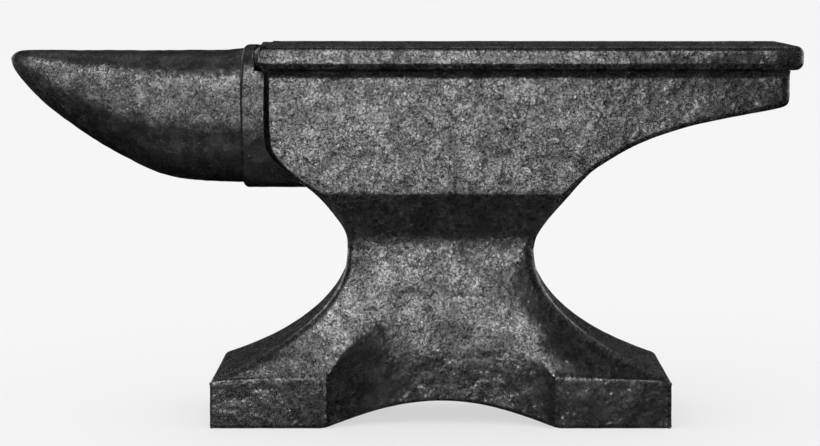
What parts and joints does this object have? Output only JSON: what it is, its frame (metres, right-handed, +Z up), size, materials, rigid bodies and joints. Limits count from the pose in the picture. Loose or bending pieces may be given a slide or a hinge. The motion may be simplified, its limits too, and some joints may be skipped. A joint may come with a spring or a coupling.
{
  "type": "anvil",
  "caption": "Smith's anvil with a flat hard face, a round tapering horn behind a collar, a heel with tool holes, a narrow waist and a wide arched base.",
  "frame": {"origin": "middle of the outer box, on the floor that the feet stand on", "axes": "+Z up, +X from the horn's tip towards the heel, +Y from the front side to the back side"},
  "size_m": [0.587, 0.132, 0.281],
  "materials": {
    "forged_iron": "dark forge scale, crackled and pitted",
    "face_steel": "dark scaled steel with a smooth worn top"
  },
  "bodies": {
    "root": {"body_core": "forged_iron", "foot_front_left": "forged_iron", "foot_front_right": "forged_iron", "foot_back_left": "forged_iron", "foot_back_right": "forged_iron", "heel_block": "forged_iron", "horn": "forged_iron", "horn_collar": "forged_iron", "face_plate": "face_steel"}
  },
  "joints": []
}
